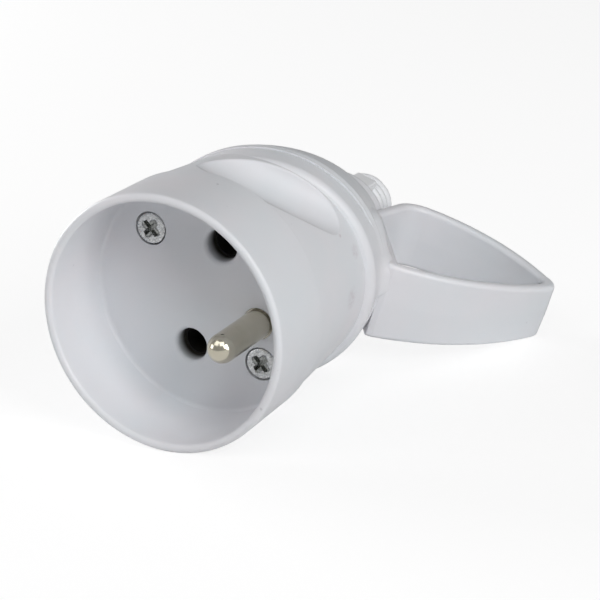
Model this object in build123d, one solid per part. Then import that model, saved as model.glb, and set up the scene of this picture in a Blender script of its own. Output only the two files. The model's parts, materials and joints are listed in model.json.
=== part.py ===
from build123d import *
import os
from math import asin, atan2, cos, degrees, hypot, pi, radians, sin, tan

# A straight cord socket with a pulling handle, for a two-pin plug with a round earth pin.
# Millimetres. The socket's axis is Y and its recess opens towards -Y. The origin is the
# centre of the recess floor, the face that a plug's front seats on.
# Each piece is drawn with the handle towards +X and the two live holes along Z. At the end
# the whole object is rolled about Y until the collar and the handle's end both lie at the
# same height, as the object rests on a table.

# Recess and collar
RECESS_RADIUS = 20.0
RECESS_DEPTH = 14.8
RECESS_CORNER = 0.7
COLLAR_RIM_WALL = 1.5
COLLAR_BACK_WALL = 1.3
COLLAR_BACK_Y = -0.6
RIM_ROUNDING = 0.7
RIM_FLAT = 0.1
COLLAR_BACK_ROUNDING = 0.15
FLOOR_THICKNESS = 3.2

# Waist between the collar and the flange
WAIST_STEP = 0.25
WAIST_TAPER = 4.65
SCOOP_START_Z = 20.5
SCOOP_SLOPE = 0.5
SCOOP_FILLET = 5.0
CREASE_ROUNDING = 0.35
CREASE_SEARCH = 2.0

# Flange and the parting seam, which leans back on the handle's side
SEAM_Y = 19.2
SEAM_TILT = 15.5
FLANGE_RADIUS = 20.3
FLANGE_BAND = 5.2
FLANGE_ROUNDING = 1.5
SEAM_ROUNDING = 0.25

# Cavity of the front housing
CAVITY_RADIUS = 17.4
CAVITY_HALF_HEIGHT = 13.1
SCOOP_WALL = 1.9

# Rear cover: a tilted rim, a dome and a tail around the cord sleeve
COVER_RIM_RADIUS = 20.5
COVER_RIM_DEPTH = 1.2
DOME_MIDDLE_RADIUS = 15.2
DOME_MIDDLE_X = 0.4
DOME_MIDDLE_Y = 33.5
DOME_MIDDLE_TILT = 4.0
TAIL_RADIUS = 9.2
TAIL_START_Y = 43.5
TAIL_END_Y = 46.3
TAIL_ROUNDING = 1.4
COVER_WALL = 2.0
SPIGOT_RADIUS = 18.2
SPIGOT_WALL = 1.2
SPIGOT_HEIGHT = 2.2
SPIGOT_CLEARANCE = 0.1

# Loop handle, one moulding with the rear cover
HANDLE_NEAR_STEP = 0.1
HANDLE_NEAR_MIDDLE = (31.8, 33.8)
HANDLE_TIP = (42.3, 50.4)
HANDLE_FAR_MIDDLE = (28.3, 55.9)
HANDLE_FAR_CORNER = (10.1, 52.6)
HANDLE_FAR_ROOT = (8.2, 41.0)
HANDLE_TIP_ROUNDING = 2.4
HANDLE_CORNER_ROUNDING = 7.0
HANDLE_STRAP = 2.2
HANDLE_DRAFT = 1.5
HANDLE_NEAR_WIDTH = 14.6
HANDLE_FAR_WIDTH = 12.3
HANDLE_END_WIDTH = 10.3
HANDLE_EDGE_ROUNDING = 0.8
HANDLE_EDGE_FLAT = 0.1
HANDLE_SIDE_LEAN = 30.0
OPENING_TIP_ROUNDING = 1.9
OPENING_CORNER_ROUNDING = 4.6

# Ribbed cord sleeve
SLEEVE_X = 1.4
SLEEVE_BODY_RADIUS = 4.85
SLEEVE_RIB_HEIGHT = 0.45
SLEEVE_BORE_RADIUS = 4.1
SLEEVE_END_Y = 57.1
SLEEVE_RIB_PITCH = 1.6
SLEEVE_RIB_WIDTH = 1.3
SLEEVE_RIBS = 6
SLEEVE_SPINE_WIDTH = 4.2
SLEEVE_SPINE_HEIGHT = 6.2
SLEEVE_SPINE_END_Y = 53.6
SLEEVE_SPINE_ROUNDING = 0.4
SLEEVE_FLANGE_RADIUS = 6.6
SLEEVE_FLANGE_THICKNESS = 1.6
SLEEVE_CLEARANCE = 0.1

# Contacts
LIVE_SPACING = 19.0
LIVE_HOLE_RADIUS = 2.75
LIVE_HOLE_ROUNDING = 0.7
BASE_HOLE_RADIUS = 2.5
EARTH_PIN_X = 10.0
EARTH_PIN_RADIUS = 2.4
EARTH_PIN_LENGTH = 14.0
EARTH_ROOT_RADIUS = 2.65
EARTH_SHANK_RADIUS = 1.8
PIN_COLLAR_RADIUS = 3.2
PIN_COLLAR_THICKNESS = 1.2
CONTACT_BORE_RADIUS = 2.42
CONTACT_WALL = 0.4
CONTACT_START_Y = 8.6
CONTACT_END_Y = 19.6
CONTACT_SLOT = 0.5
CONTACT_SLOT_LENGTH = 9.0
SPRING_Y = 13.6
SPRING_WIDTH = 1.6
SPRING_WALL = 0.25
SPRING_GAP = 1.2
TERMINAL_WIDTH = 6.4
TERMINAL_LENGTH = 8.0
TERMINAL_WIRE_RADIUS = 1.5
TERMINAL_WIRE_DEPTH = 3.25
PART_CLEARANCE = 0.05

# Contact base, a dark block behind the floor
BASE_END_Y = 12.6
BASE_HALF_WIDTH = 6.0
BASE_HALF_HEIGHT = 12.9
BASE_TAB_END_X = 14.2
BASE_TAB_HALF_HEIGHT = 3.4
BASE_ROUNDING = 0.8

# Screws
HOUSING_SCREW_X = 12.6
HOUSING_SCREW_Z = 6.4
SCREW_RADIUS = 1.5
SCREW_CLEARANCE = 0.15
HOUSING_HEAD_RADIUS = 2.65
HOUSING_HEAD_HEIGHT = 1.7
HEAD_CLEARANCE = 0.2
HEAD_ROUNDING = 0.3
HOUSING_SCREW_LENGTH = 26.5
HOUSING_SCREW_SPARE = 1.0
CROSS_WIDTH = 0.75
CROSS_SPAN = 3.1
CROSS_DEPTH = 1.1
BOSS_RADIUS = 2.9
INSERT_RADIUS = 2.3
INSERT_LENGTH = 4.0
INSERT_DEPTH = 0.2
INSERT_FLUTES = 12
INSERT_FLUTE_RADIUS = 0.2
SMALL_HEAD_RADIUS = 2.3
SMALL_HEAD_HEIGHT = 1.6
CROSS_TURN = 30.0
TERMINAL_HEAD_RADIUS = 1.84
TERMINAL_SCREW_RADIUS = 1.25
TERMINAL_SCREW_LENGTH = 3.6
DRIVER_SLOT_WIDTH = 0.6
DRIVER_SLOT_DEPTH = 0.7

# Cord clamp inside the dome
CLAMP_Y = 34.0
CLAMP_WIDTH = 4.0
CLAMP_SEAT_X = -2.5
CLAMP_FOOT = 2.6
CLAMP_ARCH = 1.7
CLAMP_HALF_SPAN = 10.6
CLAMP_SCREW_Z = 8.3
CLAMP_SCREW_LENGTH = 6.0
CLAMP_POST_RADIUS = 2.4

# Worked out from the sizes above
COLLAR_RIM_RADIUS = RECESS_RADIUS + COLLAR_RIM_WALL
COLLAR_BACK_RADIUS = RECESS_RADIUS + COLLAR_BACK_WALL
CONTACT_RADIUS = CONTACT_BORE_RADIUS + CONTACT_WALL
LIVE_Z = LIVE_SPACING / 2
WAIST_RADIUS = COLLAR_BACK_RADIUS - WAIST_STEP
FLANGE_FRONT_Y = SEAM_Y - FLANGE_BAND / cos(radians(SEAM_TILT))
SLEEVE_RIB_RADIUS = SLEEVE_BODY_RADIUS + SLEEVE_RIB_HEIGHT
# Longer than any distance inside the object, for cuts that run right through
REACH = SLEEVE_END_Y + COLLAR_RIM_RADIUS
WIDE_REACH = 3 * REACH
# How far a cut starts outside the face that it enters
OVERSHOOT = 1.0


def seam_slope():
    """Rise of the seam's plane along Y for each millimetre of X."""
    return tan(radians(SEAM_TILT))


def tilted_plane(x, y, tilt):
    """A section plane through (x, y, 0) that faces backwards and leans towards -X."""
    angle = radians(tilt)
    return Plane(origin=(x, y, 0), x_dir=(cos(angle), sin(angle), 0), z_dir=(-sin(angle), cos(angle), 0))


def behind(plane, reach=REACH):
    """Everything on the plane's far side, as a large block."""
    return extrude(plane * Rectangle(2 * reach, 2 * reach), reach)


def rod(radius, start, end, x=0.0, z=0.0):
    """A cylinder along Y."""
    base = Plane(origin=(x, start, z), x_dir=(1, 0, 0), z_dir=(0, 1, 0))
    return extrude(base * Circle(radius), end - start)


def cross_rod(radius, start, end, y, z):
    """A cylinder along X."""
    base = Plane(origin=(start, y, z), x_dir=(0, 1, 0), z_dir=(1, 0, 0))
    return extrude(base * Circle(radius), end - start)


def block(x0, x1, y0, y1, z0, z1):
    """A box between two corners."""
    centre = ((x0 + x1) / 2, (y0 + y1) / 2, (z0 + z1) / 2)
    return Pos(*centre) * Box(x1 - x0, y1 - y0, z1 - z0)


def housing_screw_places():
    """The two housing screws stand on opposite sides of the axis."""
    return [(-HOUSING_SCREW_X, HOUSING_SCREW_Z), (HOUSING_SCREW_X, -HOUSING_SCREW_Z)]


def seam_y(x):
    """Where the seam's plane lies at a given X."""
    return SEAM_Y + x * seam_slope()


def ring(shape, radius, y):
    """The circular edge of a turned piece at a radius and a place along Y."""
    circles = shape.edges().filter_by(GeomType.CIRCLE)
    return sorted(circles, key=lambda edge: hypot(edge.radius - radius, edge.arc_center.Y - y))[0]


def cup():
    """Collar, recess and floor turned in one piece with a solid waist."""
    waist_end_y = seam_y(WAIST_RADIUS) + FLANGE_BAND
    waist_end = WAIST_RADIUS - (waist_end_y - COLLAR_BACK_Y) * tan(radians(WAIST_TAPER))
    rim_rounding = min(RIM_ROUNDING, (COLLAR_RIM_WALL - RIM_FLAT) / 2)
    section = make_face(
        Polyline(
            (0, 0),
            (RECESS_RADIUS, 0),
            (RECESS_RADIUS, -RECESS_DEPTH),
            (COLLAR_RIM_RADIUS, -RECESS_DEPTH),
            (COLLAR_BACK_RADIUS, COLLAR_BACK_Y),
            (WAIST_RADIUS, COLLAR_BACK_Y),
            (waist_end, waist_end_y),
            (0, waist_end_y),
            close=True,
        )
    )
    body = revolve(section, Axis.Y)
    body = fillet(ring(body, RECESS_RADIUS, 0), RECESS_CORNER)
    body = fillet(ring(body, RECESS_RADIUS, -RECESS_DEPTH), rim_rounding)
    body = fillet(ring(body, COLLAR_RIM_RADIUS, -RECESS_DEPTH), rim_rounding)
    return fillet(ring(body, COLLAR_BACK_RADIUS, COLLAR_BACK_Y), COLLAR_BACK_ROUNDING)


def scoop_cutter():
    """The space above one finger scoop: a sloping floor that turns up into the flange."""
    low_z = SCOOP_START_Z - SCOOP_SLOPE * (REACH - COLLAR_BACK_Y)
    side = Plane.YZ * make_face(
        Polyline(
            (COLLAR_BACK_Y, SCOOP_START_Z),
            (REACH, low_z),
            (REACH, REACH),
            (COLLAR_BACK_Y, REACH),
            close=True,
        )
    )
    wedge = extrude(side, REACH, both=True)
    wedge -= behind(tilted_plane(0, FLANGE_FRONT_Y, SEAM_TILT), WIDE_REACH)
    valley_z = SCOOP_START_Z - SCOOP_SLOPE * (FLANGE_FRONT_Y - COLLAR_BACK_Y)
    valley = wedge.edges().sort_by_distance((0, FLANGE_FRONT_Y, valley_z))[0]
    return fillet(valley, SCOOP_FILLET)


def flange():
    """The tilted band that the finger scoops end at."""
    band = extrude(tilted_plane(0, SEAM_Y, SEAM_TILT) * Circle(FLANGE_RADIUS), -FLANGE_BAND)
    band = fillet(ring(band, FLANGE_RADIUS, SEAM_Y), SEAM_ROUNDING)
    return fillet(ring(band, FLANGE_RADIUS, FLANGE_FRONT_Y), FLANGE_ROUNDING)


def front_cavity():
    """The room behind the floor, narrowed where the scoops come in."""
    start_z = SCOOP_START_Z - SCOOP_SLOPE * (FLOOR_THICKNESS - COLLAR_BACK_Y) - SCOOP_WALL
    turn_y = FLOOR_THICKNESS + (start_z - CAVITY_HALF_HEIGHT) / SCOOP_SLOPE
    upper = make_face(
        Polyline(
            (FLOOR_THICKNESS, -start_z),
            (FLOOR_THICKNESS, start_z),
            (turn_y, CAVITY_HALF_HEIGHT),
            (REACH, CAVITY_HALF_HEIGHT),
            (REACH, -CAVITY_HALF_HEIGHT),
            (turn_y, -CAVITY_HALF_HEIGHT),
            close=True,
        )
    )
    room = extrude(Plane.YZ * upper, REACH, both=True)
    behind_flange = behind(tilted_plane(0, FLANGE_FRONT_Y + SCOOP_WALL, SEAM_TILT))
    return rod(CAVITY_RADIUS, FLOOR_THICKNESS, REACH) & (room + behind_flange)


def is_crease(edge):
    """Whether an edge runs along the waist where a scoop's slope cuts it."""
    middle = edge.position_at(0.5)
    on_waist = abs(hypot(middle.X, middle.Z) - WAIST_RADIUS) < CREASE_SEARCH
    return on_waist and COLLAR_BACK_Y + OVERSHOOT < middle.Y < SEAM_Y and abs(middle.X) > CREASE_SEARCH


def live_hole():
    """The space of one live hole, with its mouth rounded into the floor."""
    hole = rod(LIVE_HOLE_RADIUS + 2 * LIVE_HOLE_ROUNDING, -OVERSHOOT, 0)
    hole += rod(LIVE_HOLE_RADIUS, -OVERSHOOT, FLOOR_THICKNESS + OVERSHOOT)
    return fillet(ring(hole, LIVE_HOLE_RADIUS, 0), LIVE_HOLE_ROUNDING)


def front_housing():
    """Collar, recess floor, waist and flange in one moulding."""
    shell = cup()
    scoop = scoop_cutter()
    shell -= scoop
    shell -= mirror(scoop, Plane.XY)
    creases = [edge for edge in shell.edges() if is_crease(edge)]
    shell = fillet(creases, CREASE_ROUNDING)
    shell += flange()
    seam = tilted_plane(0, SEAM_Y, SEAM_TILT)
    shell -= front_cavity()
    for x, z in housing_screw_places():
        shell += rod(BOSS_RADIUS, FLOOR_THICKNESS / 2, seam_y(x) + FLANGE_BAND, x, z)
    seat = Circle(SPIGOT_RADIUS + SPIGOT_CLEARANCE) - Circle(SPIGOT_RADIUS - SPIGOT_WALL - SPIGOT_CLEARANCE)
    shell -= extrude(seam * seat, -(SPIGOT_HEIGHT + SPIGOT_CLEARANCE))
    shell -= behind(seam)
    for x, z in housing_screw_places():
        shell -= rod(SCREW_RADIUS + SCREW_CLEARANCE, -OVERSHOOT, REACH, x, z)
        shell -= rod(HOUSING_HEAD_RADIUS + HEAD_CLEARANCE, -OVERSHOOT, HOUSING_HEAD_HEIGHT, x, z)
    for side in (1, -1):
        shell -= Pos(0, 0, side * LIVE_Z) * live_hole()
    root_end = FLOOR_THICKNESS + OVERSHOOT
    return shell - rod(EARTH_ROOT_RADIUS + PART_CLEARANCE, -OVERSHOOT, root_end, EARTH_PIN_X)


def dome(wall):
    """The cover's outer form, or its inside when a wall is given."""
    seam = tilted_plane(0, SEAM_Y, SEAM_TILT)
    rim = Circle(COVER_RIM_RADIUS - wall)
    sections = [
        tilted_plane(0, SEAM_Y + COVER_RIM_DEPTH, SEAM_TILT) * rim,
        tilted_plane(DOME_MIDDLE_X, DOME_MIDDLE_Y, DOME_MIDDLE_TILT) * Circle(DOME_MIDDLE_RADIUS - wall),
        tilted_plane(SLEEVE_X, TAIL_START_Y, 0) * Circle(TAIL_RADIUS - wall),
    ]
    body = loft(sections)
    return body + extrude(seam * rim, COVER_RIM_DEPTH, dir=(0, 1, 0))


def near_root():
    """Where the near strap leaves the seam, just outside the cover's rim."""
    x = COVER_RIM_RADIUS * cos(radians(SEAM_TILT)) + HANDLE_NEAR_STEP
    return (x, seam_y(x))


def handle_outline():
    """Side view of the loop, with its third side inside the dome."""
    near = ThreePointArc(near_root(), HANDLE_NEAR_MIDDLE, HANDLE_TIP)
    far = ThreePointArc(HANDLE_TIP, HANDLE_FAR_MIDDLE, HANDLE_FAR_CORNER)
    root = Line(HANDLE_FAR_CORNER, HANDLE_FAR_ROOT)
    third = Line(HANDLE_FAR_ROOT, near_root())
    loop = make_face(near + far + root + third)
    seam = Pos(0, SEAM_Y + SEAM_ROUNDING, 0) * Rot(0, 0, SEAM_TILT)
    behind_seam = seam * Pos(0, REACH, 0) * Rectangle(2 * REACH, 2 * REACH)
    return loop & behind_seam


def rounded_corner(face, corner, radius):
    """The face with one of its corners, named by its place, rounded."""
    return fillet(face.vertices().sort_by_distance((*corner, 0))[0], radius)


def loop_opening():
    """The hole through the handle, a strap's thickness inside the outline."""
    hole = offset(handle_outline(), amount=-HANDLE_STRAP, kind=Kind.INTERSECTION)
    tip = hole.vertices().sort_by_distance((*HANDLE_TIP, 0))[0]
    hole = fillet(tip, OPENING_TIP_ROUNDING)
    corner = hole.vertices().sort_by_distance((*HANDLE_FAR_CORNER, 0))[0]
    return fillet(corner, OPENING_CORNER_ROUNDING)


def handle_side():
    """The loop's upper side, which slopes down from the near root to the outer end."""
    near = Vector(*near_root(), HANDLE_NEAR_WIDTH / 2)
    far = Vector(*HANDLE_FAR_CORNER, HANDLE_FAR_WIDTH / 2)
    tip = Vector(*HANDLE_TIP, HANDLE_END_WIDTH / 2)
    return Plane(origin=near, x_dir=tip - near, z_dir=(tip - near).cross(far - near))


def handle_edge():
    """Rounding of the loop's edges, which leaves a narrow flat on the drafted strap."""
    thinnest = HANDLE_STRAP - HANDLE_NEAR_WIDTH * tan(radians(HANDLE_DRAFT))
    return min(HANDLE_EDGE_ROUNDING, (thinnest - HANDLE_EDGE_FLAT) / 2)


def handle():
    """A drafted loop with a parting line along its middle and rounded edges."""
    outline = rounded_corner(handle_outline(), HANDLE_TIP, HANDLE_TIP_ROUNDING)
    outline = rounded_corner(outline, HANDLE_FAR_CORNER, HANDLE_CORNER_ROUNDING)
    half = extrude(outline, HANDLE_NEAR_WIDTH / 2, taper=HANDLE_DRAFT)
    half -= extrude(loop_opening(), HANDLE_NEAR_WIDTH / 2, taper=-HANDLE_DRAFT)
    half -= behind(handle_side())
    side = [face for face in half.faces() if face.center().Z > HANDLE_STRAP]
    side = [face for face in side if abs(face.normal_at().Z) > cos(radians(HANDLE_SIDE_LEAN))]
    edges = [edge for face in side for edge in face.edges()]
    shown = [edge for edge in edges if edge.center().X > DOME_MIDDLE_RADIUS or edge.center().Y > TAIL_END_Y]
    half = fillet(shown, handle_edge())
    return half + mirror(half, Plane.XY)


def clamp_seat():
    """Two posts and a web that carry the cord clamp."""
    start = CLAMP_Y - CLAMP_WIDTH / 2
    end = CLAMP_Y + CLAMP_WIDTH / 2
    seat = block(-REACH, CLAMP_SEAT_X, start, end, -CLAMP_SCREW_Z, CLAMP_SCREW_Z)
    for side in (1, -1):
        seat += cross_rod(CLAMP_POST_RADIUS, -REACH, CLAMP_SEAT_X, CLAMP_Y, side * CLAMP_SCREW_Z)
    return seat - rod(SLEEVE_BORE_RADIUS, 0, REACH, SLEEVE_X)


def spigot():
    """The ring that centres the cover inside the front housing."""
    seam = tilted_plane(0, SEAM_Y, SEAM_TILT)
    inner = Circle(SPIGOT_RADIUS - SPIGOT_WALL)
    root = Circle(COVER_RIM_RADIUS - COVER_WALL / 2) - inner
    band = Circle(SPIGOT_RADIUS) - inner
    return extrude(seam * band, -SPIGOT_HEIGHT) + extrude(seam * root, COVER_RIM_DEPTH)


def rear_cover():
    """Rim, dome, tail and handle in one moulding."""
    outer = dome(0)
    tail = rod(TAIL_RADIUS, TAIL_START_Y, TAIL_END_Y, SLEEVE_X)
    outer += fillet(tail.edges().sort_by(Axis.Y)[-1], TAIL_ROUNDING)
    room = dome(COVER_WALL)
    posts = clamp_seat()
    screw_end = HOUSING_HEAD_HEIGHT + HOUSING_SCREW_LENGTH + HOUSING_SCREW_SPARE
    for x, z in housing_screw_places():
        posts += rod(BOSS_RADIUS, 0, screw_end + HOUSING_SCREW_SPARE, x, z)
    seam = tilted_plane(0, SEAM_Y, SEAM_TILT)
    cover = outer - room + (posts & outer & behind(seam))
    cover += handle() - room
    cover += spigot()
    for x, z in housing_screw_places():
        cover -= rod(INSERT_RADIUS + PART_CLEARANCE, 0, insert_start(x) + INSERT_LENGTH, x, z)
        cover -= rod(SCREW_RADIUS + SCREW_CLEARANCE, 0, screw_end, x, z)
    clamp_end = CLAMP_SEAT_X - CLAMP_SCREW_LENGTH - PART_CLEARANCE
    for side in (1, -1):
        z = side * CLAMP_SCREW_Z
        cover -= cross_rod(SCREW_RADIUS + PART_CLEARANCE, clamp_end, CLAMP_SEAT_X + OVERSHOOT, CLAMP_Y, z)
    cover -= rod(SLEEVE_BODY_RADIUS + SLEEVE_CLEARANCE, CLAMP_Y + CLAMP_WIDTH, REACH, SLEEVE_X)
    return cover


def insert_start(x):
    """How far back a thread insert begins, just behind the seam."""
    return seam_y(x) + INSERT_RADIUS * seam_slope() + INSERT_DEPTH


def sleeve_rib(index):
    """One rounded rib round the sleeve, counted from its end."""
    end = SLEEVE_END_Y - index * SLEEVE_RIB_PITCH
    start = end - SLEEVE_RIB_WIDTH
    middle = (start + end) / 2
    crest = ThreePointArc((SLEEVE_BODY_RADIUS, start), (SLEEVE_RIB_RADIUS, middle), (SLEEVE_BODY_RADIUS, end))
    inner = (SLEEVE_BORE_RADIUS + SLEEVE_BODY_RADIUS) / 2
    foot = Polyline((SLEEVE_BODY_RADIUS, end), (inner, end), (inner, start), (SLEEVE_BODY_RADIUS, start))
    return Pos(SLEEVE_X, 0, 0) * revolve(make_face(crest + foot), Axis.Y)


def cord_sleeve():
    """A soft ribbed sleeve with a smooth spine above and below, held by a flange inside."""
    start = TAIL_START_Y - SLEEVE_FLANGE_THICKNESS
    sleeve = rod(SLEEVE_BODY_RADIUS, start, SLEEVE_END_Y, SLEEVE_X)
    sleeve += rod(SLEEVE_FLANGE_RADIUS, start, TAIL_START_Y, SLEEVE_X)
    for index in range(SLEEVE_RIBS):
        sleeve += sleeve_rib(index)
    x0 = SLEEVE_X - SLEEVE_SPINE_WIDTH / 2
    x1 = SLEEVE_X + SLEEVE_SPINE_WIDTH / 2
    z = SLEEVE_SPINE_HEIGHT
    spine = block(x0, x1, TAIL_END_Y, SLEEVE_SPINE_END_Y, -z, z)
    outer_edges = spine.edges().filter_by(Axis.Y) + spine.faces().sort_by(Axis.Y)[-1].edges()
    spine = fillet(outer_edges, SLEEVE_SPINE_ROUNDING)
    return sleeve + spine - rod(SLEEVE_BORE_RADIUS, 0, REACH, SLEEVE_X)


def contact_base():
    """The dark insulating block that the contacts stand in."""
    start = FLOOR_THICKNESS
    half = BASE_HALF_HEIGHT
    base = block(-BASE_HALF_WIDTH, BASE_HALF_WIDTH, start, BASE_END_Y, -half, half)
    base = fillet(base.edges().filter_by(Axis.Y), BASE_ROUNDING)
    tab = BASE_TAB_HALF_HEIGHT
    base += block(0, BASE_TAB_END_X, start, BASE_END_Y, -tab, tab)
    for side in (1, -1):
        base -= rod(BASE_HOLE_RADIUS, 0, REACH, 0, side * LIVE_Z)
        base -= rod(CONTACT_RADIUS + PART_CLEARANCE, CONTACT_START_Y, REACH, 0, side * LIVE_Z)
    base -= rod(EARTH_SHANK_RADIUS + PART_CLEARANCE, 0, REACH, EARTH_PIN_X)
    collar_end = start + PIN_COLLAR_THICKNESS + PART_CLEARANCE
    return base - rod(PIN_COLLAR_RADIUS + PART_CLEARANCE, 0, collar_end, EARTH_PIN_X)


def earth_pin():
    """A turned pin with a round nose, a root in the floor, a collar behind it and a shank."""
    pin = rod(EARTH_PIN_RADIUS, EARTH_PIN_RADIUS - EARTH_PIN_LENGTH, 0, EARTH_PIN_X)
    pin += rod(EARTH_ROOT_RADIUS, 0, FLOOR_THICKNESS, EARTH_PIN_X)
    pin += Pos(EARTH_PIN_X, EARTH_PIN_RADIUS - EARTH_PIN_LENGTH, 0) * Sphere(EARTH_PIN_RADIUS)
    pin += rod(PIN_COLLAR_RADIUS, FLOOR_THICKNESS, FLOOR_THICKNESS + PIN_COLLAR_THICKNESS, EARTH_PIN_X)
    return pin + rod(EARTH_SHANK_RADIUS, 0, BASE_END_Y + TERMINAL_LENGTH / 2, EARTH_PIN_X)


def terminal_block(x, start, z):
    """A square brass block with a wire hole from the back and a screw hole from the side."""
    half = TERMINAL_WIDTH / 2
    body = block(x - half, x + half, start, start + TERMINAL_LENGTH, z - half, z + half)
    end = start + TERMINAL_LENGTH
    body -= rod(TERMINAL_WIRE_RADIUS, end - TERMINAL_WIRE_DEPTH, end + OVERSHOOT, x, z)
    hole = TERMINAL_SCREW_RADIUS + PART_CLEARANCE
    return body - cross_rod(hole, x - half - OVERSHOOT, x, terminal_screw_y(start), z)


def terminal_screw_y(start):
    """Where a terminal's screw crosses its wire hole."""
    return start + TERMINAL_LENGTH - TERMINAL_WIRE_DEPTH / 2


def terminal_screw(x, start, z):
    """A slotted screw that enters a terminal from its inner side."""
    y = terminal_screw_y(start)
    face = x - TERMINAL_WIDTH / 2
    tip = face + TERMINAL_SCREW_LENGTH - SMALL_HEAD_HEIGHT
    screw = cross_rod(TERMINAL_SCREW_RADIUS, face, tip, y, z)
    top = face - SMALL_HEAD_HEIGHT
    screw += cross_rod(TERMINAL_HEAD_RADIUS, top, face, y, z)
    half = DRIVER_SLOT_WIDTH / 2
    return screw - block(top - OVERSHOOT, top + DRIVER_SLOT_DEPTH, y - REACH, y + REACH, z - half, z + half)


def live_contact(side):
    """A slit tube that grips a plug's pin, with its wire terminal behind it."""
    z = side * LIVE_Z
    contact = rod(CONTACT_RADIUS, CONTACT_START_Y, CONTACT_END_Y, 0, z)
    contact += terminal_block(0, CONTACT_END_Y, z)
    contact -= rod(CONTACT_BORE_RADIUS, 0, CONTACT_END_Y, 0, z)
    half = CONTACT_SLOT / 2
    slot_end = CONTACT_START_Y + CONTACT_SLOT_LENGTH
    reach = CONTACT_RADIUS + OVERSHOOT
    return contact - block(-reach, reach, 0, slot_end, z - half, z + half)


def contact_spring(side):
    """An open spring ring round the slit tube."""
    z = side * LIVE_Z
    inner = CONTACT_RADIUS + PART_CLEARANCE / 2
    band = rod(inner + SPRING_WALL, SPRING_Y, SPRING_Y + SPRING_WIDTH, 0, z)
    band -= rod(inner, 0, REACH, 0, z)
    return band - block(0, REACH, 0, REACH, z - SPRING_GAP / 2, z + SPRING_GAP / 2)


def cross_recess(depth):
    """A cross-shaped driver recess, sunk from Y = 0."""
    arm = block(-CROSS_SPAN / 2, CROSS_SPAN / 2, -OVERSHOOT, depth, -CROSS_WIDTH / 2, CROSS_WIDTH / 2)
    return arm + Rot(0, 90, 0) * arm


def housing_screw(x, z):
    """A cross-headed machine screw whose head lies flush with the recess floor."""
    screw = rod(HOUSING_HEAD_RADIUS, 0, HOUSING_HEAD_HEIGHT)
    screw = fillet(screw.edges().sort_by(Axis.Y)[0], HEAD_ROUNDING)
    screw += rod(SCREW_RADIUS, HOUSING_HEAD_HEIGHT / 2, HOUSING_HEAD_HEIGHT + HOUSING_SCREW_LENGTH)
    screw -= Rot(0, CROSS_TURN, 0) * cross_recess(CROSS_DEPTH)
    return Pos(x, 0, z) * screw


def thread_insert(x, z):
    """A fluted brass insert in the cover's boss."""
    start = insert_start(x)
    insert = rod(INSERT_RADIUS, start, start + INSERT_LENGTH, x, z)
    insert -= rod(SCREW_RADIUS + PART_CLEARANCE, 0, REACH, x, z)
    for index in range(INSERT_FLUTES):
        angle = 2 * pi * index / INSERT_FLUTES
        place_x = x + INSERT_RADIUS * cos(angle)
        place_z = z + INSERT_RADIUS * sin(angle)
        insert -= rod(INSERT_FLUTE_RADIUS, 0, REACH, place_x, place_z)
    return insert


def cord_clamp():
    """A saddle over the cord, screwed down at both ends."""
    start = CLAMP_Y - CLAMP_WIDTH / 2
    end = CLAMP_Y + CLAMP_WIDTH / 2
    top = CLAMP_SEAT_X + CLAMP_FOOT
    clamp = block(CLAMP_SEAT_X, top, start, end, -CLAMP_HALF_SPAN, CLAMP_HALF_SPAN)
    arch = rod(SLEEVE_BORE_RADIUS + CLAMP_ARCH, start, end, SLEEVE_X)
    clamp += arch & block(CLAMP_SEAT_X, REACH, start, end, -REACH, REACH)
    clamp -= rod(SLEEVE_BORE_RADIUS, 0, REACH, SLEEVE_X)
    hole = SCREW_RADIUS + SCREW_CLEARANCE
    for side in (1, -1):
        clamp -= cross_rod(hole, CLAMP_SEAT_X - OVERSHOOT, top + OVERSHOOT, CLAMP_Y, side * CLAMP_SCREW_Z)
    return clamp


def clamp_screw(side):
    """A cross-headed screw that holds one end of the clamp."""
    top = CLAMP_SEAT_X + CLAMP_FOOT
    screw = rod(SMALL_HEAD_RADIUS, 0, SMALL_HEAD_HEIGHT)
    screw = fillet(screw.edges().sort_by(Axis.Y)[0], HEAD_ROUNDING)
    screw += rod(SCREW_RADIUS, SMALL_HEAD_HEIGHT / 2, SMALL_HEAD_HEIGHT + CLAMP_FOOT + CLAMP_SCREW_LENGTH)
    screw -= cross_recess(CROSS_DEPTH)
    return Pos(top + SMALL_HEAD_HEIGHT, CLAMP_Y, side * CLAMP_SCREW_Z) * Rot(0, 0, 90) * screw


def build():
    """Every piece by its name, in the drawing's own position."""
    earth_start = BASE_END_Y
    pieces = {
        "front_housing": front_housing(),
        "rear_cover": rear_cover(),
        "cord_sleeve": cord_sleeve(),
        "contact_base": contact_base(),
        "earth_pin": earth_pin(),
        "earth_terminal": terminal_block(EARTH_PIN_X, earth_start, 0)
        - rod(EARTH_SHANK_RADIUS + PART_CLEARANCE, 0, earth_start + TERMINAL_LENGTH / 2, EARTH_PIN_X),
        "earth_terminal_screw": terminal_screw(EARTH_PIN_X, earth_start, 0),
        "cord_clamp": cord_clamp(),
    }
    for number, side in ((1, 1), (2, -1)):
        pieces[f"live_contact_{number}"] = live_contact(side)
        pieces[f"contact_spring_{number}"] = contact_spring(side)
        pieces[f"live_terminal_screw_{number}"] = terminal_screw(0, CONTACT_END_Y, side * LIVE_Z)
        pieces[f"clamp_screw_{number}"] = clamp_screw(side)
    for number, (x, z) in enumerate(housing_screw_places(), 1):
        pieces[f"housing_screw_{number}"] = housing_screw(x, z)
        pieces[f"thread_insert_{number}"] = thread_insert(x, z)
    return pieces


def rest_roll():
    """The roll about Y that brings the handle's end down to the collar's height."""
    corner_x = HANDLE_TIP[0] - handle_edge()
    corner_z = HANDLE_END_WIDTH / 2 - handle_edge()
    drop = COLLAR_RIM_RADIUS - handle_edge()
    return degrees(asin(drop / hypot(corner_x, corner_z)) - atan2(corner_z, corner_x))


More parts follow.
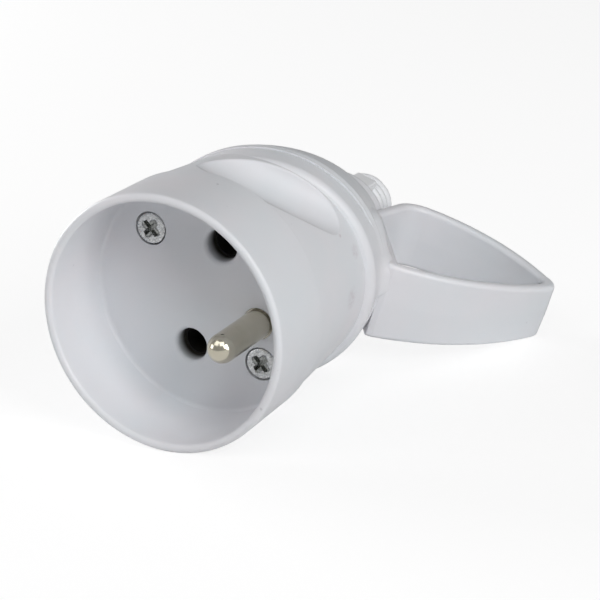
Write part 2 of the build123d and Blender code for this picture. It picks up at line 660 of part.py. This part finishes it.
os.makedirs("parts", exist_ok=True)
for name, shape in build().items():
    export_step(Rot(0, rest_roll(), 0) * shape, "parts/" + name + ".step")
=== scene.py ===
import json
from math import atan2, cos, radians, sin

import bmesh
import bpy
from mathutils import Matrix, Vector
from mathutils.bvhtree import BVHTree


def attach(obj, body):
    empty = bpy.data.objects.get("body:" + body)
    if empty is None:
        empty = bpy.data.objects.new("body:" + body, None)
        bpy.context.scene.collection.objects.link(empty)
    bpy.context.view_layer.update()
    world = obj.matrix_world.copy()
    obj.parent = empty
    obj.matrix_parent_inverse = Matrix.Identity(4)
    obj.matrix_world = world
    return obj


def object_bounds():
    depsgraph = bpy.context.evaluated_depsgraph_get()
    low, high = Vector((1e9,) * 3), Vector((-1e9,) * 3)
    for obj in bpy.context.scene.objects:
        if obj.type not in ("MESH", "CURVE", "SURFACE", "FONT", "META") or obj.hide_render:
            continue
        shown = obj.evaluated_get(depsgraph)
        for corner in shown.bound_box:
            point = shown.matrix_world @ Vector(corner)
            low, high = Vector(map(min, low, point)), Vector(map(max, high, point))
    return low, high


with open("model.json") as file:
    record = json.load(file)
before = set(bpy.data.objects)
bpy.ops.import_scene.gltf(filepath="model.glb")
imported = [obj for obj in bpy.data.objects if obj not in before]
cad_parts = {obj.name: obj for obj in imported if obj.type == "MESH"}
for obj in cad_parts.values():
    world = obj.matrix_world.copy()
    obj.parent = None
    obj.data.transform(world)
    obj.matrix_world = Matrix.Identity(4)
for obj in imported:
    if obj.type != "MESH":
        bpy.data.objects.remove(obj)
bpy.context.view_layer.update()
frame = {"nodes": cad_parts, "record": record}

# A white cord socket with a deep recess, an earth pin and a pulling loop, as it lies on a table.
# Places are written in the socket's own natural position, in millimetres: the axis is Y, the
# recess opens towards -Y, the loop leans to +X and the live holes stand along Z. The packed
# model is that one rolled about Y, so every place goes through row().
MM = 0.001

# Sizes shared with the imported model, in millimetres and degrees
SEAM_Y = 19.2
SEAM_TILT = 15.5
LIVE_HOLE_RADIUS = 2.75
SCREW_PLACES = {"housing_screw_1": (-12.6, 6.4), "housing_screw_2": (12.6, -6.4)}
CROSS_TURN = 30.0

# The cover's shoulder beside the seam. Each section lists radius and distance behind the seam:
# where it is hidden in the moulding, where it fills the corner in front of the loop's strap, and
# where it swells beside the strap. The plan gives the angle round the seam of each section.
SHOULDER_HIDDEN = (
    (19.4, -3.4), (19.4, -2.4), (19.3, -1.2), (19.0, 0.0), (18.2, 1.4),
    (17.4, 3.0), (16.6, 4.6), (15.8, 6.0), (15.0, 7.8), (14.0, 10.8),
)
SHOULDER_COVE = (
    (20.31, -3.4), (20.33, -2.4), (20.42, -1.6), (20.66, -0.9), (21.05, -0.35),
    (21.55, 0.1), (22.1, 0.5), (22.6, 0.9), (22.9, 1.5), (22.9, 2.6),
)
SHOULDER_FULL = (
    (20.31, -3.4), (20.33, -2.4), (20.40, -1.2), (20.50, 0.0), (20.70, 1.4),
    (20.95, 2.9), (20.90, 4.5), (20.20, 6.5), (18.80, 9.2), (16.40, 12.5),
)
SHOULDER_PLAN = (
    (-8.0, SHOULDER_HIDDEN), (6.0, SHOULDER_COVE), (16.0, SHOULDER_COVE),
    (26.0, SHOULDER_FULL), (38.0, SHOULDER_FULL), (58.0, SHOULDER_HIDDEN),
)
SHOULDER_STEPS = 30
SHOULDER_WALL = 0.4
SHOULDER_SMOOTHING = 2

# The photograph's camera, for a picture of 600 by 600 pixels: its turn is an axis times an angle
PICTURE = 600
FOCAL_PIXELS = 2200.0
SENSOR = 36.0
CAMERA_TURN = (1.952, 0.668, -0.017)
CAMERA_SHIFT = (-15.221, -0.632, 354.753)
CAMERA_CLIP = 0.01

# Floor and world. The floor's share is how much of the lamps' light it adds to its own glow.
FLOOR_SIZE = 3.0
FLOOR_GREY = 0.8
FLOOR_GLOW = 0.78
FLOOR_SHARE = 0.3
GLOSS_SHARE = 0.28
WORLD_GREY = 0.06
WORLD_WHITE = 1.0

# Lamps: name, degrees to the right of the camera, degrees up, side in metres and power in watts
LAMP_DISTANCE = 0.8
LAMPS = (
    ("key", 30.0, 25.0, 0.30, 2.95),
    ("low", 40.0, 8.0, 0.20, 0.68),
    ("front", 0.0, 50.0, 0.45, 0.95),
    ("left", -60.0, 50.0, 0.45, 0.8),
    ("side", -90.0, 15.0, 0.30, 0.75),
    ("back", -135.0, 15.0, 0.30, 4.2),
)

# In the materials, grain is a noise in features per metre, rough is the range of a roughness, and
# a bump is its grain, the noise's detail, its strength and its depth in metres. An inner glow is
# the subsurface light's weight, its radii and its scale in metres.
DETAIL = 2.0
FINE_DETAIL = 4.0
NOISE_START = 0.3
NOISE_END = 0.7

# White plastic
PLASTIC_WARM = (0.800, 0.790, 0.820)
PLASTIC_COOL = (0.755, 0.785, 0.815)
PLASTIC_CLOUDS = 55
CLOUD_DETAIL = 3
PLASTIC_GRAIN = 240
PLASTIC_ROUGH = (0.34, 0.46)
PLASTIC_INNER_GLOW = (0.12, (1.0, 0.9, 0.85), 0.0012)
PLASTIC_BUMPS = ((90, 1, 0.25, 0.00012), (5200, DETAIL, 0.12, 0.00003))
SPECK_GRAIN = 620
SPECK_DETAIL = 1
SPECK_SHARE = 0.5
SPECK_LEVELS = (0.80, 0.84)
SPECK_TINT = (0.42, 0.42, 0.44)

# Marks that the photograph shows on the white plastic: pixel, radius in millimetres, how strong
MARKS = (
    ("front_housing", (340.0, 235.7), 0.45, 0.75),
    ("front_housing", (355.0, 251.5), 1.5, 0.35),
    ("front_housing", (352.0, 298.0), 2.2, 0.4),
)
MARK_TINT = (0.50, 0.43, 0.47)
MARK_GRAIN = 1500
MARK_CORE = 0.5

# Painted shade in the depth of the live holes: where it starts and ends behind the recess's floor, in
# millimetres, and where it fades out beside the hole, in hole radii
HOLE_PAINTED_SHADE = (0.035, 0.030, 0.024)
HOLE_FADE = (0.7, 2.6)
HOLE_END = (6.0, 6.5)
HOLE_EDGE = (1.02, 1.04)

# The sleeve's soft plastic and the dark block behind the live holes
SOFT_LIGHT = (0.90, 0.905, 0.92)
SOFT_DARK = (0.84, 0.855, 0.88)
SOFT_CLOUDS = 150
SOFT_GRAIN = 900
SOFT_ROUGH = (0.42, 0.55)
SOFT_INNER_GLOW = (0.2, (1.0, 1.0, 1.0), 0.0015)
SOFT_BUMPS = ((3500, DETAIL, 0.2, 0.00004),)
BLOCK_DARK = (0.012, 0.011, 0.010)
BLOCK_LIGHT = (0.030, 0.028, 0.026)
BLOCK_CLOUDS = 800
BLOCK_GRAIN = 1200
BLOCK_ROUGH = (0.5, 0.65)
BLOCK_BUMPS = ((4000, DETAIL, 0.25, 0.00004),)

# Metals: light and dark tone, roughness, grain and strength of the bumps
METALS = {
    "nickelled_brass": ((0.73, 0.69, 0.58), (0.62, 0.58, 0.46), (0.10, 0.22), 160, 0.05),
    "contact_brass": ((0.78, 0.60, 0.30), (0.62, 0.46, 0.20), (0.25, 0.45), 700, 0.15),
    "screw_steel": ((0.62, 0.63, 0.62), (0.30, 0.31, 0.30), (0.12, 0.30), 900, 0.15),
}
METAL_GLOSS_GRAIN = 2
METAL_BUMP_GRAIN = 8
METAL_BUMP_DEPTH = 0.00002

# Painted shade on the ring at the pin's foot, in the corner with the recess's floor, with its fade along
# Y in millimetres
FOOT_PAINTED_SHADE = (0.38, 0.36, 0.31)
FOOT_FADE = (-0.7, -0.1)

# The housing screws: bright zinc, and a lobed dent round the cross with painted shade in it, in
# millimetres
ZINC_LIGHT = (0.78, 0.79, 0.79)
ZINC_DARK = (0.42, 0.43, 0.43)
ZINC_CLOUDS = 1400
ZINC_GRAIN = 1800
ZINC_ROUGH = (0.12, 0.34)
ZINC_BUMP = (2600, 3, 0.6, 0.0003)
LOBE_RADIUS = 1.4
LOBE_SWING = 0.35
LOBE_SLOPE = 0.12
LOBE_DEPTH = 0.0003
LOBE_PAINTED_SHADE = (0.24, 0.25, 0.23)
LOBE_SHADE_GRAIN = 2200
LOBE_SHADE_SHARE = (0.5, 1)


def mount_place(name):
    """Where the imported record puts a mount, in metres."""
    mounts = frame["record"]["mounts"]
    return Vector([mount["pos_m"] for mount in mounts if mount["name"] == name][0])


def roll_angle():
    """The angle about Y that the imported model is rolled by, read from a live hole's place."""
    hole = mount_place("live_hole_1")
    return atan2(hole.x, hole.z)


ROLL = Matrix.Rotation(roll_angle(), 3, "Y")


def row(x, y, z):
    """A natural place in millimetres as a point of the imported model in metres."""
    return ROLL @ Vector((x, y, z)) * MM


def add_object(name, data):
    """An object of the scene."""
    made = bpy.data.objects.new(name, data)
    bpy.context.scene.collection.objects.link(made)
    return made


def make_camera():
    """The camera that saw the photograph."""
    turn = Vector(CAMERA_TURN)
    rotation = Matrix.Rotation(turn.length, 3, turn.normalized())
    place = -(rotation.transposed() @ Vector(CAMERA_SHIFT))
    right, down, ahead = rotation
    axes = Matrix((right, -down, -ahead)).transposed()
    data = bpy.data.cameras.new("camera")
    data.sensor_width = SENSOR
    data.lens = SENSOR * FOCAL_PIXELS / PICTURE
    data.clip_start = CAMERA_CLIP
    camera = add_object("camera", data)
    camera.matrix_world = Matrix.Translation(ROLL @ place * MM) @ (ROLL @ axes).to_4x4()
    bpy.context.scene.camera = camera
    return camera


def seen_at(camera, node, x, y):
    """The place on a node that the photograph shows at a pixel, in metres."""
    mesh = frame["nodes"][node].data
    tree = BVHTree.FromPolygons([v.co for v in mesh.vertices], [p.vertices for p in mesh.polygons])
    half = PICTURE / 2
    ray = Vector(((x - half) / FOCAL_PIXELS, -(y - half) / FOCAL_PIXELS, -1))
    start = camera.matrix_world.translation
    return tree.ray_cast(start, (camera.matrix_world.to_3x3() @ ray).normalized())[0]


def add_node(tree, kind, **values):
    """A shader node with its properties set."""
    node = tree.nodes.new("ShaderNode" + kind)
    for name, value in values.items():
        setattr(node, name, value)
    return node


def object_place(tree):
    """The place of a point on the object, in metres."""
    return add_node(tree, "TexCoord").outputs["Object"]


def noise(tree, grain, detail=DETAIL):
    """Noise over the object, in features per metre."""
    texture = add_node(tree, "TexNoise")
    texture.inputs["Scale"].default_value = grain
    texture.inputs["Detail"].default_value = detail
    tree.links.new(object_place(tree), texture.inputs["Vector"])
    return texture.outputs["Fac"]


def spread(tree, value, low, high, start=NOISE_START, end=NOISE_END):
    """A value from start to end, carried over to low to high."""
    ranged = add_node(tree, "MapRange", clamp=True)
    tree.links.new(value, ranged.inputs["Value"])
    for name, number in (("From Min", start), ("From Max", end), ("To Min", low), ("To Max", high)):
        ranged.inputs[name].default_value = number
    return ranged.outputs["Result"]


def combine(tree, operation, first, second):
    """Two values combined; each is a socket or a number."""
    node = add_node(tree, "Math", operation=operation)
    for socket, value in zip(node.inputs, (first, second)):
        if isinstance(value, (int, float)):
            socket.default_value = value
        else:
            tree.links.new(value, socket)
    return node.outputs["Value"]


def vector_math(tree, operation, first, second=(0, 0, 0)):
    """The outputs of a vector operation on a socket and a fixed vector."""
    node = add_node(tree, "VectorMath", operation=operation)
    tree.links.new(first, node.inputs[0])
    node.inputs[1].default_value = second
    return node.outputs


def blend_colour(tree, share, first, second):
    """Two colours mixed by a share; each is a socket or a colour."""
    mix = add_node(tree, "Mix", data_type="RGBA")
    tree.links.new(share, mix.inputs["Factor"])
    for name, colour in (("A", first), ("B", second)):
        socket = [s for s in mix.inputs if s.name == name and s.type == "RGBA"][0]
        if isinstance(colour, tuple):
            socket.default_value = (*colour, 1)
        else:
            tree.links.new(colour, socket)
    return [s for s in mix.outputs if s.type == "RGBA"][0]


def add_bump(tree, shader, bumps):
    """Bumps laid over each other: (height socket, strength, depth in metres) each."""
    normal = None
    for height, strength, depth in bumps:
        bump = add_node(tree, "Bump")
        bump.inputs["Strength"].default_value = strength
        bump.inputs["Distance"].default_value = depth
        tree.links.new(height, bump.inputs["Height"])
        if normal:
            tree.links.new(normal, bump.inputs["Normal"])
        normal = bump.outputs["Normal"]
    tree.links.new(normal, shader.inputs["Normal"])


def noise_bumps(tree, bumps):
    """The bumps of a material's table as (height socket, strength, depth) each."""
    return [(noise(tree, grain, detail), strength, depth) for grain, detail, strength, depth in bumps]


def new_material(name, metallic=0.0):
    """A material with one main shader."""
    material = bpy.data.materials.new(name)
    material.use_nodes = True
    tree = material.node_tree
    shader = tree.nodes["Principled BSDF"]
    shader.inputs["Metallic"].default_value = metallic
    return material, tree, shader


def give_finish(tree, shader, colour, roughness):
    """The colour and the roughness that a shader gets."""
    tree.links.new(colour, shader.inputs["Base Color"])
    tree.links.new(roughness, shader.inputs["Roughness"])


def add_inner_glow(shader, weight, radii, scale):
    """Light that goes a little way into a plastic."""
    shader.inputs["Subsurface Weight"].default_value = weight
    shader.inputs["Subsurface Radius"].default_value = radii
    shader.inputs["Subsurface Scale"].default_value = scale


def near(tree, place, radius):
    """1 round a place, falling to 0 at a radius from it, both in metres."""
    distance = vector_math(tree, "DISTANCE", object_place(tree), place)["Value"]
    return spread(tree, distance, 1, 0, radius * (1 - MARK_CORE), radius)


def along_axis(tree, fade, low, high):
    """low before a fade along Y and high behind it; the fade is in millimetres."""
    parts = add_node(tree, "SeparateXYZ")
    tree.links.new(object_place(tree), parts.inputs[0])
    start, end = fade
    return spread(tree, parts.outputs["Y"], low, high, start * MM, end * MM)


def across_axis(tree, centre):
    """How a point lies beside the line along Y through a centre, as a vector socket."""
    away = vector_math(tree, "SUBTRACT", object_place(tree), centre)["Vector"]
    return vector_math(tree, "MULTIPLY", away, (1, 0, 1))["Vector"]


def hole_shade(tree, place):
    """1 in a live hole's depth, where shade is painted dark onto the hole's white walls, and 0 elsewhere.
    """
    distance = vector_math(tree, "LENGTH", across_axis(tree, place))["Value"]
    start, end = (LIVE_HOLE_RADIUS * MM * share for share in HOLE_EDGE)
    inside = spread(tree, distance, 1, 0, start, end)
    deep = combine(tree, "MULTIPLY", inside, along_axis(tree, HOLE_FADE, 0, 1))
    return combine(tree, "MULTIPLY", deep, along_axis(tree, HOLE_END, 1, 0))


def lobed(tree, centre, turn):
    """1 inside the four lobes that a screwdriver's recess leaves round the cross, 0 outside."""
    away = across_axis(tree, centre)
    distance = vector_math(tree, "LENGTH", away)["Value"]
    along = vector_math(tree, "DOT_PRODUCT", away, (cos(turn), 0, sin(turn)))["Value"]
    cosine = combine(tree, "DIVIDE", along, distance)
    square = combine(tree, "MULTIPLY", cosine, cosine)
    fourth = combine(tree, "MULTIPLY", square, square)
    # The edge swings with cos(4a), which is 8 (cos(a)^4 - cos(a)^2) + 1
    wave = combine(tree, "SUBTRACT", fourth, square)
    swing = combine(tree, "MULTIPLY", wave, 8 * LOBE_SWING * MM)
    edge = combine(tree, "ADD", swing, (LOBE_RADIUS + LOBE_SWING) * MM)
    inside = combine(tree, "SUBTRACT", edge, distance)
    return spread(tree, inside, 0, 1, -LOBE_SLOPE * MM, LOBE_SLOPE * MM)


def white_plastic(camera):
    """Satin moulded plastic with faint clouds, a few specks, the photograph's marks and painted shade in
    the live holes.
    """
    material, tree, shader = new_material("white_plastic")
    clouds = spread(tree, noise(tree, PLASTIC_CLOUDS, CLOUD_DETAIL), 0, 1)
    colour = blend_colour(tree, clouds, PLASTIC_WARM, PLASTIC_COOL)
    speck = spread(tree, noise(tree, SPECK_GRAIN, SPECK_DETAIL), 0, SPECK_SHARE, *SPECK_LEVELS)
    colour = blend_colour(tree, speck, colour, SPECK_TINT)
    for node, pixel, radius, strength in MARKS:
        inside = near(tree, seen_at(camera, node, *pixel), radius * MM)
        share = combine(tree, "MULTIPLY", inside, spread(tree, noise(tree, MARK_GRAIN), 0, strength))
        colour = blend_colour(tree, share, colour, MARK_TINT)
    # Painted shade: the white walls deep in the live holes are darkened to stand for their shade
    for name in ("live_hole_1", "live_hole_2"):
        colour = blend_colour(tree, hole_shade(tree, mount_place(name)), colour, HOLE_PAINTED_SHADE)
    give_finish(tree, shader, colour, spread(tree, noise(tree, PLASTIC_GRAIN), *PLASTIC_ROUGH))
    add_inner_glow(shader, *PLASTIC_INNER_GLOW)
    add_bump(tree, shader, noise_bumps(tree, PLASTIC_BUMPS))
    return material


def soft_plastic():
    """The softer, slightly bluer plastic of the cord sleeve."""
    material, tree, shader = new_material("white_soft")
    colour = blend_colour(tree, spread(tree, noise(tree, SOFT_CLOUDS), 0, 1), SOFT_LIGHT, SOFT_DARK)
    give_finish(tree, shader, colour, spread(tree, noise(tree, SOFT_GRAIN), *SOFT_ROUGH))
    add_inner_glow(shader, *SOFT_INNER_GLOW)
    add_bump(tree, shader, noise_bumps(tree, SOFT_BUMPS))
    return material


def dark_plastic():
    """The matt black block behind the live holes."""
    material, tree, shader = new_material("dark_insulator")
    colour = blend_colour(tree, noise(tree, BLOCK_CLOUDS), BLOCK_DARK, BLOCK_LIGHT)
    give_finish(tree, shader, colour, spread(tree, noise(tree, BLOCK_GRAIN), *BLOCK_ROUGH))
    add_bump(tree, shader, noise_bumps(tree, BLOCK_BUMPS))
    return material


def metal(name):
    """A plated or turned metal: two tones, uneven gloss and a fine grain."""
    light, dark, rough, grain, relief = METALS[name]
    material, tree, shader = new_material(name, metallic=1.0)
    colour = blend_colour(tree, spread(tree, noise(tree, grain, FINE_DETAIL), 0, 1), light, dark)
    gloss = noise(tree, METAL_GLOSS_GRAIN * grain, FINE_DETAIL)
    give_finish(tree, shader, colour, spread(tree, gloss, *rough))
    add_bump(tree, shader, [(noise(tree, METAL_BUMP_GRAIN * grain), relief, METAL_BUMP_DEPTH)])
    return material


def shade_pin_foot(material):
    """The same metal, darkened by painted shade where the pin leaves the recess's floor."""
    tree = material.node_tree
    base = tree.nodes["Principled BSDF"].inputs["Base Color"]
    share = along_axis(tree, FOOT_FADE, 0, 1)
    tree.links.new(blend_colour(tree, share, base.links[0].from_socket, FOOT_PAINTED_SHADE), base)
    return material


def screw_metal(name, x, z):
    """Bright zinc for a housing screw, with a lobed recess round the cross whose shade is painted dark in
    the lobes.
    """
    material, tree, shader = new_material(name, metallic=1.0)
    tones = spread(tree, noise(tree, ZINC_CLOUDS, FINE_DETAIL), 0, 1)
    colour = blend_colour(tree, tones, ZINC_LIGHT, ZINC_DARK)
    lobes = lobed(tree, row(x, 0, z), radians(CROSS_TURN) + roll_angle())
    # Painted shade in the lobed dent round the cross, broken up by noise
    share = combine(tree, "MULTIPLY", lobes, spread(tree, noise(tree, LOBE_SHADE_GRAIN), *LOBE_SHADE_SHARE))
    colour = blend_colour(tree, share, colour, LOBE_PAINTED_SHADE)
    give_finish(tree, shader, colour, spread(tree, noise(tree, ZINC_GRAIN), *ZINC_ROUGH))
    dent = (combine(tree, "SUBTRACT", 1, lobes), 1.0, LOBE_DEPTH)
    add_bump(tree, shader, [dent, *noise_bumps(tree, [ZINC_BUMP])])
    return material


def beside_seam(radius, angle, back):
    """A point round the tilted seam, by its radius, its angle from +X and its distance behind."""
    tilt = radians(SEAM_TILT)
    across = radius * cos(radians(angle))
    x = across * cos(tilt) - back * sin(tilt)
    y = SEAM_Y + across * sin(tilt) + back * cos(tilt)
    return row(x, y, radius * sin(radians(angle)))


def shoulder_section(angle):
    """The shoulder's section at an angle round the seam, blended between the plan's sections."""
    for (start, first), (end, second) in zip(SHOULDER_PLAN, SHOULDER_PLAN[1:]):
        if angle <= end:
            break
    share = min((angle - start) / (end - start), 1)
    share = share * share * (3 - 2 * share)
    return [
        [here + share * (there - here) for here, there in zip(point, other)]
        for point, other in zip(first, second)
    ]


def shoulder_mesh():
    """The shoulder's outer face, as a grid of sections."""
    build = bmesh.new()
    start = SHOULDER_PLAN[0][0]
    width = SHOULDER_PLAN[-1][0] - start
    rows = []
    for step in range(SHOULDER_STEPS + 1):
        angle = start + width * step / SHOULDER_STEPS
        section = shoulder_section(angle)
        rows.append([build.verts.new(beside_seam(radius, angle, back)) for radius, back in section])
    for first, second in zip(rows, rows[1:]):
        for index in range(len(first) - 1):
            build.faces.new((first[index], second[index], second[index + 1], first[index + 1]))
    bmesh.ops.recalc_face_normals(build, faces=build.faces)
    mesh = bpy.data.meshes.new("cover_shoulder")
    build.to_mesh(mesh)
    build.free()
    for face in mesh.polygons:
        face.use_smooth = True
    return mesh


def make_shoulder(plastic):
    """The smooth swelling that carries the flange over the seam into the loop's root."""
    mesh = shoulder_mesh()
    mesh.materials.append(plastic)
    piece = add_object("cover_shoulder", mesh)
    outward = mesh.polygons[0].normal.dot(mesh.polygons[0].center) > 0
    wall = piece.modifiers.new("wall", "SOLIDIFY")
    wall.thickness = SHOULDER_WALL * MM
    wall.offset = -1 if outward else 1
    smooth = piece.modifiers.new("smooth", "SUBSURF")
    smooth.levels = SHOULDER_SMOOTHING
    smooth.render_levels = SHOULDER_SMOOTHING
    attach(piece, "root")


def seen_directly(tree):
    """1 for what the camera sees, less for what gloss shows, and 0 for other light."""
    path = add_node(tree, "LightPath")
    gloss = combine(tree, "MULTIPLY", path.outputs["Is Glossy Ray"], GLOSS_SHARE)
    return combine(tree, "MAXIMUM", path.outputs["Is Camera Ray"], gloss)


def diffuse(tree, grey):
    """A matt grey's shader socket."""
    node = add_node(tree, "BsdfDiffuse")
    node.inputs["Color"].default_value = (grey, grey, grey, 1)
    return node.outputs[0]


def floor_material():
    """Matt grey to other light, and a glowing white that keeps a shadow where it is seen."""
    material = bpy.data.materials.new("floor")
    material.use_nodes = True
    tree = material.node_tree
    tree.nodes.clear()
    glow = add_node(tree, "Emission")
    glow.inputs["Strength"].default_value = FLOOR_GLOW
    white = add_node(tree, "AddShader")
    tree.links.new(diffuse(tree, FLOOR_SHARE), white.inputs[0])
    tree.links.new(glow.outputs[0], white.inputs[1])
    chosen = add_node(tree, "MixShader")
    tree.links.new(seen_directly(tree), chosen.inputs[0])
    tree.links.new(diffuse(tree, FLOOR_GREY), chosen.inputs[1])
    tree.links.new(white.outputs[0], chosen.inputs[2])
    out = add_node(tree, "OutputMaterial")
    tree.links.new(chosen.outputs[0], out.inputs["Surface"])
    return material


def make_floor():
    """A white table that keeps the socket's shadow."""
    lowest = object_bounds()[0].z
    half = FLOOR_SIZE / 2
    mesh = bpy.data.meshes.new("floor")
    corners = [(-half, -half, lowest), (half, -half, lowest), (half, half, lowest), (-half, half, lowest)]
    mesh.from_pydata(corners, [], [(0, 1, 2, 3)])
    mesh.materials.append(floor_material())
    floor = add_object("floor", mesh)


def make_world():
    """A plain studio: an even light, and white where it is seen."""
    world = bpy.data.worlds.new("studio")
    world.use_nodes = True
    tree = world.node_tree
    background = tree.nodes["Background"]
    background.inputs["Color"].default_value = (1, 1, 1, 1)
    strength = spread(tree, seen_directly(tree), WORLD_GREY, WORLD_WHITE, 0, 1)
    tree.links.new(strength, background.inputs["Strength"])
    bpy.context.scene.world = world


def add_lamp(camera, name, right, up, size, power):
    """A square lamp that faces the socket, placed by angles from the camera's side of it."""
    ahead = camera.matrix_world.translation.copy()
    ahead.z = 0
    turned = Matrix.Rotation(radians(right), 3, "Z") @ ahead.normalized()
    place = LAMP_DISTANCE * (turned * cos(radians(up)) + Vector((0, 0, sin(radians(up)))))
    data = bpy.data.lights.new(name, "AREA")
    data.shape = "SQUARE"
    data.size = size
    data.energy = power
    lamp = add_object(name, data)
    lamp.location = place
    lamp.rotation_euler = (-place).to_track_quat("-Z", "Y").to_euler()


def dress(plastic):
    """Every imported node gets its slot's material, and the housing screws get their own."""
    materials = {name: metal(name) for name in METALS}
    # Painted shade at the pin's foot, in the corner with the recess's floor
    shade_pin_foot(materials["nickelled_brass"])
    materials["white_plastic"] = plastic
    materials["white_soft"] = soft_plastic()
    materials["dark_insulator"] = dark_plastic()
    for part in frame["record"]["subparts"]:
        node = frame["nodes"][part["node"]]
        node.data.materials.clear()
        node.data.materials.append(materials[part["material_slot"]])
    for name, place in SCREW_PLACES.items():
        frame["nodes"][name].data.materials[0] = screw_metal(name, *place)


camera = make_camera()
make_floor()
make_world()
for lamp in LAMPS:
    add_lamp(camera, *lamp)
plastic = white_plastic(camera)
dress(plastic)
make_shoulder(plastic)
bpy.context.scene.view_settings.view_transform = "Standard"
